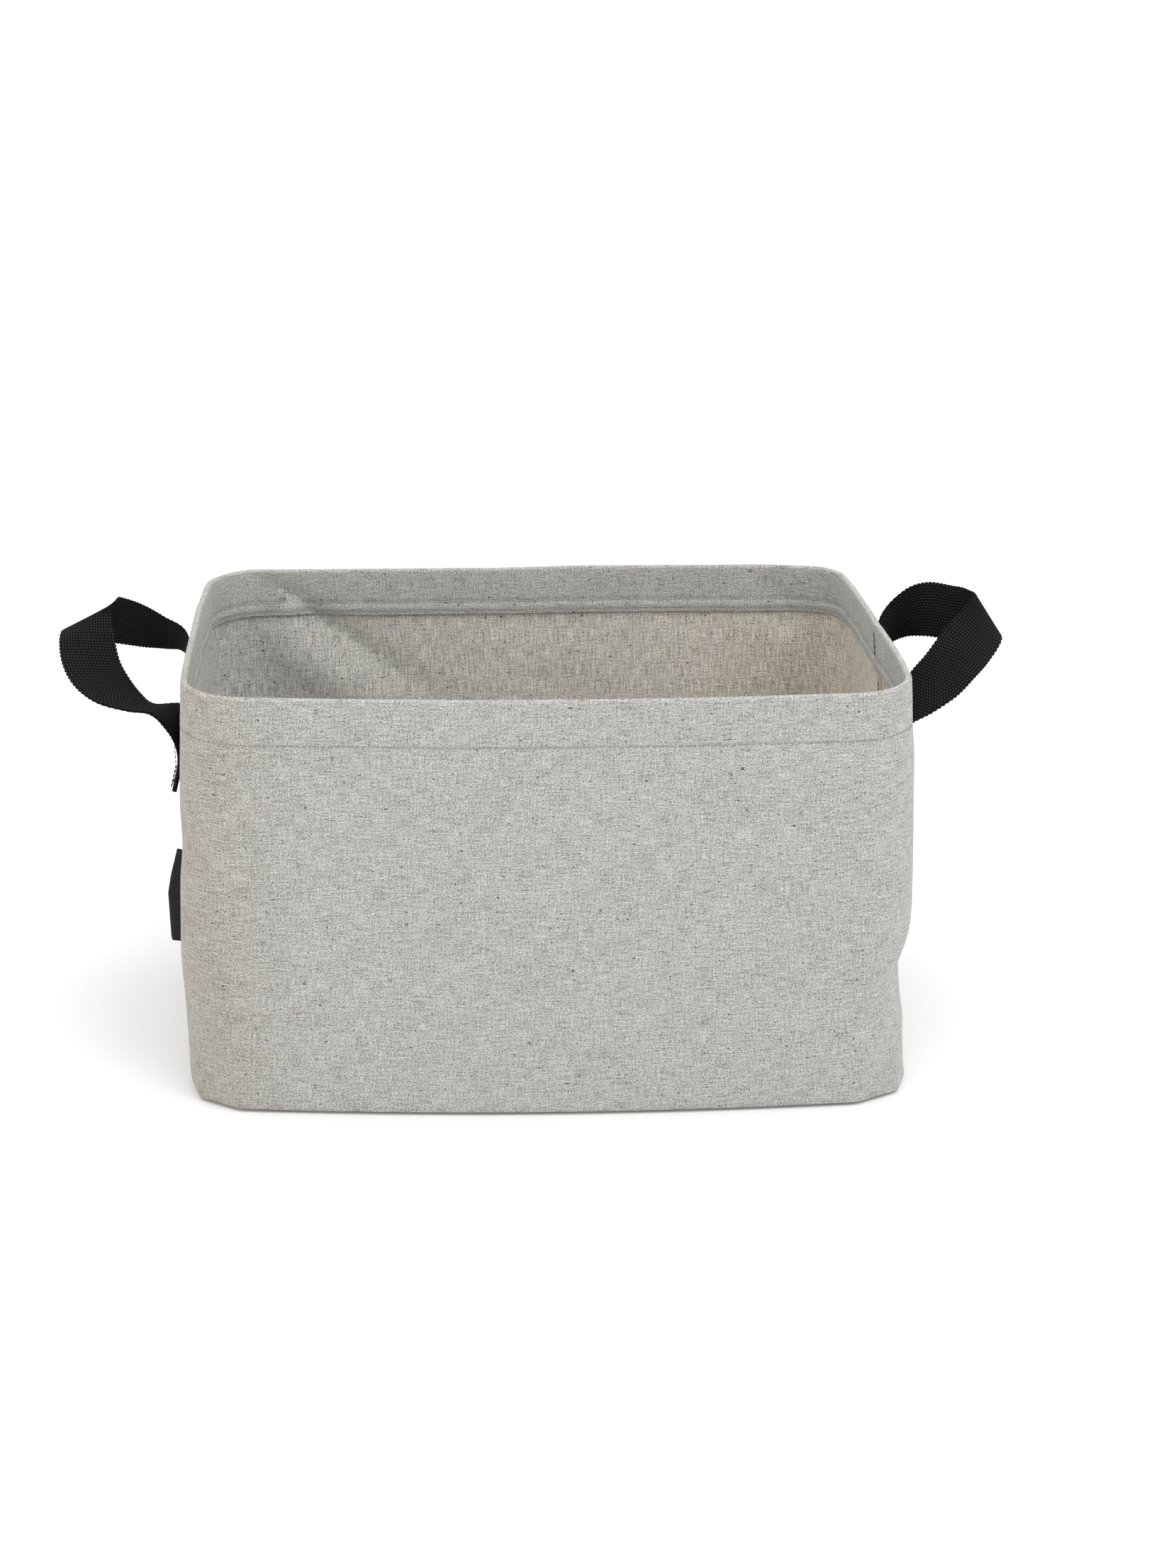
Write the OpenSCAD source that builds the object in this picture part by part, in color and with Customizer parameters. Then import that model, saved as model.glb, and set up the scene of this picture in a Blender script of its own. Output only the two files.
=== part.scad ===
// Fabric storage bin with two webbing handles.
// The origin is on the floor, at the centre of the base. +Z is up, and the front is at -Y.
// The rim, the sewn handle ends and the handle loops move down together when the bin is
// pressed flat, and each handle loop swings about the top of its sewn ends.

/* [Body] */
// Width across the short sides
body_w = 456; // [400:2:560]
// Depth between the ends of the long sides
body_d = 290; // [240:2:360]
// Height from the floor to the rim
body_h = 280; // [250:2:340]
// Radius of the upright corners
corner_r = 38; // [20:1:60]
// How far each long side bows out at its middle
side_bow = 7; // [0:1:12]

/* [Cloth] */
// Thickness of the outer cloth
cloth_t = 1.2; // [0.8:0.1:1.6]
// Thickness of the lining bonded inside the cloth
lining_t = 0.6; // [0.4:0.1:1]
// Thickness of the thread where it shows
thread_t = 0.4; // [0.2:0.1:0.6]

/* [Rim] */
// Depth of the hem turned down inside the rim
hem_h = 34; // [24:1:40]
// Distance from the rim down to the outer row of stitches
topstitch_drop = 30; // [20:1:36]
// Distance from the rim down to the upper row of stitches inside
hem_stitch_drop = 25; // [16:1:28]
// Height of the stiffening tape inside the hem
stiffener_h = 24; // [16:1:28]
// Thickness of the stiffening tape
stiffener_t = 0.8; // [0.5:0.1:1.2]

/* [Base] */
// Thickness of the board in the base
board_t = 2; // [1:0.5:3]
// Height of the tape that binds the base seam inside
binding_h = 8; // [5:1:12]
// Width of the tape that binds each side seam inside
seam_tape_w = 12; // [8:1:20]

/* [Handles] */
// Width of the webbing
webbing_w = 38; // [25:1:50]
// Thickness of the webbing
webbing_t = 1.8; // [1.2:0.1:2.5]
// Length of each sewn end
tab_h = 38; // [30:1:45]
// Distance from the rim down to the top of the sewn ends
tab_drop = 50; // [42:1:60]
// Distance from the side seam to the middle of each sewn end
tab_y = 56; // [45:1:70]
// How far the middle of the loop stands out from the wall
loop_reach = 65; // [50:1:80]
// How far the middle of the loop rises above its sewn ends
loop_rise = 60; // [45:1:65]
// How far the outer edge of the loop dips at its middle, in degrees
loop_dip = 30; // [15:1:40]

/* [Label] */
// How far the label stands out from the side seam
label_w = 20; // [12:1:30]
// Height of the label
label_h = 68; // [40:1:80]
// Height of the label's lower edge above the floor
label_z = 47; // [30:1:60]
// Thickness of the folded label
label_t = 1.2; // [0.8:0.2:2]

/* [Hidden] */
$fn = 64;

// Clearance between pieces that move past each other
clear = 0.3;
// Steps round each upright corner, and along each long side
corner_steps = 8;
side_steps = 12;
// Steps along each handle loop
loop_steps = 36;

wall_t = cloth_t + lining_t;
hem_inset = wall_t + clear + stiffener_t;
wall_top = body_h - cloth_t - clear;
floor_top = cloth_t + board_t + lining_t;
tab_top = body_h - tab_drop;
// The loop turns about a line a little above the sewn ends and just outside their faces
pivot_lift = 3;
pivot_stand_off = 1.2;
pivot_x = body_w / 2 + clear + webbing_t + pivot_stand_off;
pivot_z = tab_top + pivot_lift;
// Width of a drawn stitch line, and its distance in from the edge of a sewn end
stitch_w = 1;
stitch_inset = 3;
label_r = 4;

cloth_colour = [0.70, 0.70, 0.67];
lining_colour = [0.62, 0.60, 0.56];
thread_colour = [0.82, 0.82, 0.79];
webbing_colour = [0.06, 0.06, 0.065];
board_colour = [0.45, 0.38, 0.30];
tape_colour = [0.50, 0.49, 0.46];

// Points round one corner whose arc starts at the given angle
function corner_arc(centre, r, start) =
    [for (i = [0:corner_steps]) let (a = start + 90 * i / corner_steps)
        centre + r * [cos(a), sin(a)]];

// Moves a point outward on the long sides, most at their middle
function bowed(p, w) = [p.x, p.y + sign(p.y) * side_bow * (1 - pow(2 * p.x / w, 2))];

// Points between the two corners of a long side, from x = from to x = -from
function long_side(from, y) =
    [for (i = [1:side_steps - 1]) [from * (1 - 2 * i / side_steps), y]];

// The bin's outline, moved in from its outer face
function outline(inset) =
    let (w = body_w - 2 * inset,
         d = body_d - 2 * inset,
         r = corner_r - inset,
         cx = w / 2 - r,
         cy = d / 2 - r,
         points = concat(corner_arc([cx, cy], r, 0), long_side(cx, d / 2),
                         corner_arc([-cx, cy], r, 90), corner_arc([-cx, -cy], r, 180),
                         long_side(-cx, -d / 2), corner_arc([cx, -cy], r, 270)))
    [for (p = points) bowed(p, w)];

// The middle line of a handle loop on the right, with t from 0 at the rear to 1 at the front
function loop_middle(t) = [pivot_x + loop_reach * sin(180 * t), tab_y * cos(180 * t),
                           pivot_z + loop_rise * sin(180 * t)];
function loop_along(t) = [loop_reach * cos(180 * t), -tab_y * sin(180 * t),
                          loop_rise * cos(180 * t)];
function loop_across(t) = [cos(loop_dip) * sin(180 * t), cos(180 * t),
                           -sin(loop_dip) * sin(180 * t)];
function unit(v) = v / norm(v);

// The four corners of the webbing's section at t
function loop_section(t) =
    let (across = loop_across(t) * webbing_w / 2,
         through = unit(cross(loop_along(t), across)) * webbing_t / 2,
         middle = loop_middle(t))
    [middle + across + through, middle - across + through,
     middle - across - through, middle + across - through];

module slab(inset, z0, z1) {
    translate([0, 0, z0])
        linear_extrude(z1 - z0)
            polygon(outline(inset));
}

module ring(outer, inner) {
    difference() {
        polygon(outline(outer));
        polygon(outline(inner));
    }
}

module band(outer, inner, z0, z1) {
    translate([0, 0, z0])
        linear_extrude(z1 - z0)
            ring(outer, inner);
}

// The half of a band on one side of the side seams: -1 for the front, 1 for the rear
module half_band(outer, inner, z0, z1, side) {
    translate([0, 0, z0])
        linear_extrude(z1 - z0)
            intersection() {
                ring(outer, inner);
                translate([-body_w, side < 0 ? -body_d : 0])
                    square([2 * body_w, body_d]);
            }
}

module outer_wall(side) {
    color(cloth_colour)
        half_band(0, cloth_t, 0, wall_top, side);
}

module lining_wall(side) {
    color(lining_colour)
        half_band(cloth_t, wall_t, cloth_t, wall_top, side);
}

module base_cloth() {
    color(cloth_colour)
        slab(cloth_t, 0, cloth_t);
}

module base_board() {
    color(board_colour)
        slab(wall_t, cloth_t, cloth_t + board_t);
}

module base_lining() {
    color(lining_colour)
        slab(wall_t, cloth_t + board_t, floor_top);
}

module base_seam_binding() {
    color(tape_colour)
        band(wall_t, wall_t + lining_t, floor_top, floor_top + binding_h);
}

// Tape up the inside of a side seam: -1 for the left, 1 for the right
module seam_binding(side) {
    z0 = floor_top + binding_h;
    x_outer = body_w / 2 - wall_t;
    color(tape_colour)
        translate([side < 0 ? -x_outer : x_outer - lining_t, -seam_tape_w / 2, z0])
            cube([lining_t, seam_tape_w, body_h - hem_h - clear - z0]);
}

module rim_hem(side) {
    color(cloth_colour)
        union() {
            half_band(hem_inset, hem_inset + cloth_t, body_h - hem_h, body_h, side);
            half_band(0, hem_inset + cloth_t, body_h - cloth_t, body_h, side);
        }
}

module rim_stiffener(side) {
    z1 = body_h - cloth_t;
    color("white")
        half_band(hem_inset - stiffener_t, hem_inset, z1 - stiffener_h, z1, side);
}

module rim_topstitch() {
    z = body_h - topstitch_drop;
    color(thread_colour)
        band(-clear - thread_t, -clear, z, z + stitch_w);
}

// A row of stitches on the inner face of the hem
module hem_stitch(drop) {
    inset = hem_inset + cloth_t;
    color(thread_colour)
        band(inset, inset + thread_t, body_h - drop, body_h - drop + stitch_w);
}

module handle_loop() {
    sections = [for (i = [0:loop_steps]) loop_section(i / loop_steps)];
    points = [for (s = sections) for (p = s) p];
    last = 4 * loop_steps;
    sides = [for (i = [0:loop_steps - 1]) for (j = [0:3])
        let (a = 4 * i + j, b = 4 * i + (j + 1) % 4)
        for (f = [[a, b, b + 4], [a, b + 4, a + 4]]) f];
    ends = [[0, 2, 1], [0, 3, 2], [last, last + 1, last + 2], [last, last + 2, last + 3]];
    color(webbing_colour)
        polyhedron(points, concat(sides, ends));
}

// A sewn end on the right wall: -1 for the front, 1 for the rear
module tab(end) {
    color(webbing_colour)
        translate([body_w / 2 + clear, end * tab_y - webbing_w / 2, tab_top - tab_h])
            cube([webbing_t, webbing_w, tab_h]);
}

// A sewn square with a cross from corner to corner, lying in the YZ plane
module box_stitch() {
    w = webbing_w - 2 * stitch_inset;
    h = tab_h - 2 * stitch_inset;
    linear_extrude(thread_t)
        union() {
            difference() {
                square([w, h], center = true);
                square([w - 2 * stitch_w, h - 2 * stitch_w], center = true);
            }
            for (lean = [-1, 1])
                rotate(lean * atan2(h, w))
                    square([norm([w, h]) - 2 * stitch_w, stitch_w], center = true);
        }
}

module tab_stitches() {
    color(thread_colour)
        for (end = [-1, 1])
            translate([body_w / 2 + clear + webbing_t, end * tab_y, tab_top - tab_h / 2])
                rotate([90, 0, 90])
                    box_stitch();
}

module side_label() {
    color(webbing_colour)
        translate([-body_w / 2, label_t / 2, label_z])
            rotate([90, 0, 0])
                linear_extrude(label_t)
                    union() {
                        translate([-label_w + label_r, 0])
                            square([label_w - label_r, label_h]);
                        translate([-label_w, label_r])
                            square([label_w, label_h - 2 * label_r]);
                        for (z = [label_r, label_h - label_r])
                            translate([-label_w + label_r, z])
                                circle(label_r);
                    }
}

outer_wall(-1);  // outer_front_wall
outer_wall(1);  // outer_rear_wall
base_cloth();
lining_wall(-1);  // lining_front
lining_wall(1);  // lining_rear
base_lining();
base_board();
base_seam_binding();
seam_binding(-1);  // left_seam_binding
seam_binding(1);  // right_seam_binding
rim_hem(-1);  // rim_hem_front
rim_hem(1);  // rim_hem_rear
rim_stiffener(-1);  // rim_stiffener_front
rim_stiffener(1);  // rim_stiffener_rear
rim_topstitch();
hem_stitch(hem_stitch_drop);  // hem_upper_stitch
hem_stitch(hem_h);  // hem_lower_stitch
mirror([1, 0, 0]) handle_loop();  // left_handle_loop
handle_loop();  // right_handle_loop
mirror([1, 0, 0]) tab(-1);  // left_front_tab
mirror([1, 0, 0]) tab(1);  // left_rear_tab
tab(-1);  // right_front_tab
tab(1);  // right_rear_tab
mirror([1, 0, 0]) tab_stitches();  // left_tab_stitches
tab_stitches();  // right_tab_stitches
side_label();
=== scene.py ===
"""The looks of the fabric storage bin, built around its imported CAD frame.

The bin stands on the floor at z = 0, its front faces -Y, and its side seams are at y = 0.
Shapes are worked out in millimetres, and mesh_object() turns them into metres.
"""
import math

import bpy
import numpy as np
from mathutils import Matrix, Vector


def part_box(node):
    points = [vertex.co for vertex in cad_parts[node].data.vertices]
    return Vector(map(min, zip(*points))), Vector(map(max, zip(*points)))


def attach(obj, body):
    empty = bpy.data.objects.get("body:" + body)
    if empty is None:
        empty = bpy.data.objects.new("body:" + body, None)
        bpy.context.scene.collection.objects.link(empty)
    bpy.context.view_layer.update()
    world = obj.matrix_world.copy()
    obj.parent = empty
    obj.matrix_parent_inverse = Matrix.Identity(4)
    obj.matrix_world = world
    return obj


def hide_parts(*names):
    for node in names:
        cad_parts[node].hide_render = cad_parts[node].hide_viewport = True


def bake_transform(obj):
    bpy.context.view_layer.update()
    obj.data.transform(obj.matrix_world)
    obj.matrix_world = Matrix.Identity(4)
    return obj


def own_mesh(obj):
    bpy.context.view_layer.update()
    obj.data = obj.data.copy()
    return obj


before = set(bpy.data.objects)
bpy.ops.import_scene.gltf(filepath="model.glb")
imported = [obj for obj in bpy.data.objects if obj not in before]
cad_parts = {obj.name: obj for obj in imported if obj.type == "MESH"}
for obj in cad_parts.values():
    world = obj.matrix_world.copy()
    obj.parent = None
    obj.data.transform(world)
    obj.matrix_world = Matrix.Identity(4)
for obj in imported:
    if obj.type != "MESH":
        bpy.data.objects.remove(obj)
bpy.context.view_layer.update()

MM = 0.001


def low(node):
    """Lowest corner of a CAD node, in millimetres."""
    return np.array(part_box(node)[0]) / MM


def high(node):
    """Highest corner of a CAD node, in millimetres."""
    return np.array(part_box(node)[1]) / MM


# Heights that the frame gives
RIM_Z = high("rim_hem_front")[2]
SEW_Z = low("rim_topstitch")[2]
HEM_FOOT_Z = low("rim_hem_front")[2]
UPPER_ROW_Z = low("hem_upper_stitch")[2]
FLOOR_TOP = high("base_lining")[2]
BOARD_TOP = high("base_board")[2]
BOARD_FOOT = low("base_board")[2]
BINDING_TOP = high("base_seam_binding")[2]
TAB_FOOT = low("left_front_tab")[2]
TAB_HEAD = high("left_front_tab")[2]
TAB_Y = (low("left_rear_tab")[1] + high("left_rear_tab")[1]) / 2
WEBBING_W = high("left_rear_tab")[1] - low("left_rear_tab")[1]
WEBBING_T = high("right_rear_tab")[0] - low("right_rear_tab")[0]
LABEL_FOOT = low("side_label")[2]
LABEL_HEAD = high("side_label")[2]

# Thickness of each layer, and how far in from the outer face it starts
CLOTH_T = 1.2
LINING_T = 0.6
WALL_T = CLOTH_T + LINING_T
STIFFENER_T = 0.8
HEM_INSET = WALL_T + STIFFENER_T + 0.5
LAYER_GAP = 0.05

# The outline of the outer face. The real rim leans to one side and bows out at the front.
RIM = {
    "width": 450, "depth": 290, "shift": 0,
    "front_bow": 13, "rear_bow": 1, "side_bow": 2.5,
    "front_skew": 8.8, "rear_skew": -8.8,
    "front_left": 37, "front_right": 38, "rear_right": 30, "rear_left": 41,
}
FOOT = {
    "width": 466, "depth": 285, "shift": 3.75,
    "front_bow": 12.5, "rear_bow": 2, "side_bow": 2,
    "front_skew": 2, "rear_skew": -2,
    "front_left": 34, "front_right": 35, "rear_right": 36, "rear_left": 36,
}
# Points along a side wall from its seam, as shares of its length. They are closest at the seam.
SEAM_STEPS = [0, 0.008, 0.02, 0.05, 0.1, 0.17, 0.25, 0.34, 0.43, 0.52, 0.61, 0.7, 0.79, 0.87, 0.94]
CORNER_STEPS = 12
# Near the floor each corner is creased into two flat faces, which meet at this step
FACET_STEP = 7
FACET_HEIGHT = 55
LONG_STEPS = 76
FRONT, REAR = -1, 1
HALVES = {FRONT: "front", REAR: "rear"}


def mix(a, b, t):
    """a at t = 0, b at t = 1."""
    return a + (b - a) * t


def smooth(t):
    """Rises from 0 to 1 as t does, level at both ends."""
    t = np.clip(t, 0, 1)
    return t * t * (3 - 2 * t)


def hump(x, middle, width):
    """1 at the middle, falling to nearly 0 at one width either side."""
    return np.exp(-3 * ((x - middle) / width) ** 2)


def corner(centre, radius, start, break_step, facet):
    """Points of a quarter circle, anticlockwise from a start angle in degrees.

    With facet at 1 it is two straight lines, which meet at break_step.
    """
    angles = np.radians(start + 90 * np.arange(CORNER_STEPS + 1) / CORNER_STEPS)
    round_points = np.column_stack([np.cos(angles), np.sin(angles)]) * radius + centre
    marks = [0, break_step, CORNER_STEPS]
    steps = np.arange(CORNER_STEPS + 1)
    straight = np.column_stack([np.interp(steps, marks, round_points[marks, k]) for k in (0, 1)])
    return [tuple(p) for p in mix(round_points, straight, facet)]


def shape_at(z):
    """The measures of the outline at height z, between those of the foot and of the rim."""
    t = z / RIM_Z
    return {key: mix(FOOT[key], RIM[key], t) for key in RIM}


def outline(z, half):
    """One half of the outer face at height z, from seam to seam, anticlockwise from above."""
    s = shape_at(z)
    w = s["width"]
    d = s["depth"]
    if half == FRONT:
        r0, r1, bow = s["front_left"], s["front_right"], s["front_bow"]
    else:
        r0, r1, bow = s["rear_right"], s["rear_left"], s["rear_bow"]
    left = -w / 2 + r0
    right = w / 2 - r1
    edge = -d / 2
    facet = 1 - smooth(z / FACET_HEIGHT)
    points = [(-w / 2, f * (edge + r0)) for f in SEAM_STEPS]
    points += corner((left, edge + r0), r0, 180, CORNER_STEPS - FACET_STEP, facet)
    points += [(mix(left, right, i / LONG_STEPS), edge) for i in range(1, LONG_STEPS)]
    points += corner((right, edge + r1), r1, 270, FACET_STEP, facet)
    points += [(w / 2, f * (edge + r1)) for f in reversed(SEAM_STEPS)]
    p = np.array(points)
    x = p[:, 0].copy()
    y = p[:, 1].copy()
    p[:, 1] = y - bow * (1 - (2 * x / w) ** 2)
    p[:, 0] = x + np.sign(x) * s["side_bow"] * (1 - (2 * y / d) ** 2)
    if half == REAR:
        p = -p
    p[:, 0] += s["shift"] + mix(s["rear_skew"], s["front_skew"], (d / 2 - p[:, 1]) / d)
    return p


def outward(p):
    """Unit vectors that point out of the bin, at each point of an outline."""
    along = np.gradient(p, axis=0)
    along /= np.linalg.norm(along, axis=1)[:, None]
    return np.stack([along[:, 1], -along[:, 0]], axis=1)


# The creases of the real rear wall, each from its top to its foot, with its depth and widths
REAR_FOLDS = [
    {"top": (-206, 282), "foot": (-90, 196), "depth": 6, "sharp": 5, "soft": 10, "ridge": 30},
    {"top": (150, 296), "foot": (208, 216), "depth": 2.2, "sharp": 8, "soft": 12, "ridge": 26},
]
# The real cloth is dented low at the right, and its short sides belly out
DENT_Z = 78
DENT_DEPTH = 8
BELLY = 3.2
# What is left of a fold at the rim, where the hem is stiff
HEM_SHARE = 0.35
# The rear right corner is drawn in near the rim
CORNER_DRAW = 3.5
RIM_RISE = 1.5
# How deep the seam draws in the points nearest to it
PINCH = (0.9, 0.7, 0.3)


def fold_relief(x, z, fold):
    """A slanting fold: a sharp valley with a soft ridge below it, weaker on the hem."""
    top = np.array(fold["top"])
    foot = np.array(fold["foot"])
    length = np.linalg.norm(foot - top)
    along = (foot - top) / length
    run = ((x - top[0]) * along[0] + (z - top[1]) * along[1]) / length
    off = -(x - top[0]) * along[1] + (z - top[1]) * along[0]
    fade = mix(HEM_SHARE, 1, smooth((run - 0.2) / 0.25))
    fade = fade * smooth((1.4 - run) / 0.8) * smooth((run + 0.6) / 0.5)
    valley = np.exp(-np.abs(off) / mix(fold["sharp"], fold["soft"], np.clip(run, 0, 1)))
    ridge = hump(off, -1.1 * fold["ridge"], fold["ridge"])
    return fade * fold["depth"] * (valley - 0.7 * ridge)


def side_relief(x, y, z):
    """The short sides belly out at half height, and the real cloth has a dent low at the right."""
    belly = BELLY * np.sin(np.clip(z / RIM_Z, 0, 1) * math.pi) * smooth((np.abs(x) - 120) / 90)
    front_right = hump(x, 236, 60) * hump(y, -118, 60)
    front_left = hump(x, -230, 60) * hump(y, -110, 60)
    dent = -DENT_DEPTH * hump(z, DENT_Z, 42) - 2 * np.exp(-np.abs(z - DENT_Z) / 8)
    right = dent - 2 * hump(z, 34, 40) - 1.6 * smooth((z - 225) / 30) + 1.5 * hump(z, 0, 12)
    left = -2 * hump(z, 172, 34) + 1.2 * hump(z, 96, 40) - 0.8 * hump(z, 0, 14)
    return belly + front_right * right + front_left * left


def relief(x, y, z):
    """How far the cloth stands out: low waves away from floor and rim, side shapes and folds."""
    loose = smooth(z / 60) * smooth((RIM_Z + 25 - z) / 60)
    waves = 0.6 * np.sin(x / 34 + z / 90 + 0.6) * np.sin(z / 47 + y / 60)
    waves = waves + 0.4 * np.sin(x / 21 - z / 58 + 2.0) + 0.4 * np.sin(y / 23 + z / 66 + 1.0)
    rear_right = -CORNER_DRAW * hump(x, 190, 34) * smooth((y - 90) / 30) * smooth((z - 150) / 80)
    folds = sum(fold_relief(x, z, fold) for fold in REAR_FOLDS)
    return waves * loose + side_relief(x, y, z) + rear_right + np.where(y > 60, folds, 0)


def rim_lift(x, y, z):
    """The rim rises a little along the rear, to the right."""
    return RIM_RISE * smooth((x + 40) / 80) * smooth(y / 100) * smooth((z - 200) / 60)


def seam_pinch(count):
    """The cloth is drawn in at the two side seams that end each half."""
    pinch = np.zeros(count)
    for i, depth in enumerate(PINCH):
        pinch[i] = pinch[-1 - i] = depth
    return pinch


def face_points(z, half, out):
    """Points at height z, set out from the outer face by a distance that may vary along it."""
    p = outline(z, half)
    n = outward(p)
    push = relief(p[:, 0], p[:, 1], z) - seam_pinch(len(p)) + out
    return np.column_stack([p + n * push[:, None], z + rim_lift(p[:, 0], p[:, 1], z)])


def mesh_object(name, points, faces, material, uvs=None):
    """A smooth mesh from points in millimetres. uvs gives (across, up) in metres for each corner."""
    mesh = bpy.data.meshes.new(name)
    mesh.from_pydata([tuple(p) for p in np.asarray(points) * MM], [], faces)
    if uvs is not None:
        layer = mesh.uv_layers.new(name="weave")
        layer.data.foreach_set("uv", np.asarray(uvs, dtype=np.float32).ravel())
    mesh.polygons.foreach_set("use_smooth", [True] * len(mesh.polygons))
    mesh.materials.append(material)
    mesh.validate()
    mesh.update()
    piece = bpy.data.objects.new(name, mesh)
    bpy.context.scene.collection.objects.link(piece)
    return piece


def sweep(name, rings, across, up, material):
    """Joins rings of points into a closed piece. across has a value per ring, up one per point."""
    rings = np.asarray(rings)
    count, size = rings.shape[:2]
    up = list(up) + [2 * up[-1] - up[-2]]
    faces, uvs = [], []
    for i in range(count - 1):
        for j in range(size):
            k = (j + 1) % size
            faces.append((i * size + j, i * size + k, (i + 1) * size + k, (i + 1) * size + j))
            corners = ((i, j), (i, j + 1), (i + 1, j + 1), (i + 1, j))
            uvs += [(across[a] * MM, up[b] * MM) for a, b in corners]
    for i, order in ((0, range(size - 1, -1, -1)), (count - 1, range(size))):
        faces.append(tuple(i * size + j for j in order))
        uvs += [(across[i] * MM, up[j] * MM) for j in order]
    return mesh_object(name, rings.reshape(-1, 3), faces, material, uvs)


def run_along(points):
    """Distance along a line of points, from its first point."""
    steps = np.linalg.norm(np.diff(points, axis=0), axis=1)
    return np.concatenate([[0], np.cumsum(steps)])


def half_run(half):
    """Distance along a half outline. The rear half carries on where the front half ends."""
    start = 0 if half == FRONT else run_along(outline(RIM_Z / 2, FRONT))[-1]
    return start + run_along(outline(RIM_Z / 2, half))


def band(name, half, profile, material):
    """Sweeps a closed profile of (distance out, height) along one half of the wall."""
    rings = np.stack([face_points(z, half, out) for out, z in profile], axis=1)
    return sweep(name, rings, half_run(half), run_along(np.array(profile)), material)


def strip_profile(outer, inner, z0, z1, step):
    """Profile of a plain upright strip: up the outer face and down the inner one."""
    rows = max(2, round((z1 - z0) / step) + 1)
    heights = np.linspace(z0, z1, rows)
    return [(-outer, z) for z in heights] + [(-inner, z) for z in heights[::-1]]


# ---------------------------------------------------------------- materials


def add(tree, kind, settings=None, inputs=None):
    """Adds a node. An input is either a plain value or the socket that feeds it."""
    node = tree.nodes.new(kind)
    for key, value in (settings or {}).items():
        setattr(node, key, value)
    for key, value in (inputs or {}).items():
        if isinstance(value, bpy.types.NodeSocket):
            tree.links.new(value, node.inputs[key])
        else:
            node.inputs[key].default_value = value
    return node


def calc(tree, operation, a, b=0.0, clamp=False):
    """The result of one sum on two values or sockets."""
    settings = {"operation": operation, "use_clamp": clamp}
    return add(tree, "ShaderNodeMath", settings, {0: a, 1: b}).outputs[0]


def new_material(name, roughness, sheen=0.0, specular=0.3):
    """A new material, its node tree and its shader."""
    material = bpy.data.materials.new(name)
    material.use_nodes = True
    shader = material.node_tree.nodes["Principled BSDF"]
    shader.inputs["Roughness"].default_value = roughness
    shader.inputs["Specular IOR Level"].default_value = specular
    shader.inputs["Sheen Weight"].default_value = sheen
    shader.inputs["Sheen Roughness"].default_value = 0.5
    return material, material.node_tree, shader


def weave_axes(tree):
    """The two directions of the cloth, in metres: across the threads and along them."""
    uv = add(tree, "ShaderNodeUVMap", {"uv_map": "weave"}).outputs["UV"]
    split = add(tree, "ShaderNodeSeparateXYZ", None, {0: uv})
    return split.outputs[0], split.outputs[1]


def grain(tree, u, v, per_u, per_v, seed, detail=1.0):
    """Noise from 0 to 1. The two rates, in cycles per metre, set how it is stretched."""
    at = add(tree, "ShaderNodeCombineXYZ", None, {
        0: calc(tree, "MULTIPLY", u, per_u),
        1: calc(tree, "MULTIPLY", v, per_v),
        2: seed,
    }).outputs[0]
    noise = add(tree, "ShaderNodeTexNoise", None, {"Vector": at, "Scale": 1.0, "Detail": detail})
    return noise.outputs["Fac"]


def above(tree, value, start, end):
    """0 below start, rising to 1 at end."""
    inputs = {"Value": value, "From Min": start, "From Max": end}
    return add(tree, "ShaderNodeMapRange", {"clamp": True}, inputs).outputs["Result"]


def weighted(tree, base, terms, clamp=False):
    """base plus each (socket - 0.5) times its weight."""
    total = base
    for socket, weight in terms:
        term = calc(tree, "MULTIPLY", calc(tree, "SUBTRACT", socket, 0.5), weight)
        total = calc(tree, "ADD", total, term, clamp)
    return total


def tint(tree, colour_a, colour_b, factor, brightness):
    """A colour between two, times a brightness."""
    colours = {"Factor": factor, 6: colour_a, 7: colour_b}
    blend = add(tree, "ShaderNodeMix", {"data_type": "RGBA"}, colours)
    node = add(tree, "ShaderNodeVectorMath", {"operation": "SCALE"}, {0: blend.outputs[2]})
    tree.links.new(brightness, node.inputs["Scale"])
    return node.outputs[0]


def plain_weave(tree, u, v, pitch):
    """Height of a plain weave from 0 to 1: threads pass over and under in turn."""
    rate = math.pi / pitch
    wave_u = calc(tree, "SINE", calc(tree, "MULTIPLY", u, rate))
    wave_v = calc(tree, "SINE", calc(tree, "MULTIPLY", v, rate))
    both = calc(tree, "MULTIPLY", wave_u, wave_v)
    halved = {0: both, 1: 0.5, 2: 0.5}
    return add(tree, "ShaderNodeMath", {"operation": "MULTIPLY_ADD"}, halved).outputs[0]


def set_bump(tree, shader, height, strength, distance):
    """Feeds a height, with a distance in metres, to the shader's normal."""
    inputs = {"Height": height, "Strength": strength, "Distance": distance}
    bump = add(tree, "ShaderNodeBump", None, inputs)
    tree.links.new(bump.outputs[0], shader.inputs["Normal"])


YARN_PITCH = 0.0007
PATCH_WEIGHT = 0.7


def lighting_drift_and_patches(tree, patches, x_range, y_range):
    """How much of the second colour: painted light and shade that drifts along the bin's two ways,
    and patches that vary at random.
    """
    place = add(tree, "ShaderNodeTexCoord").outputs["Object"]
    split = add(tree, "ShaderNodeSeparateXYZ", None, {0: place})
    painted_lighting_x = above(tree, split.outputs[0], *x_range)
    painted_lighting_y = above(tree, split.outputs[1], *y_range)
    painted_lighting = calc(tree, "MULTIPLY", painted_lighting_x, painted_lighting_y)
    return weighted(tree, painted_lighting, [(patches, PATCH_WEIGHT)], clamp=True)


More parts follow.
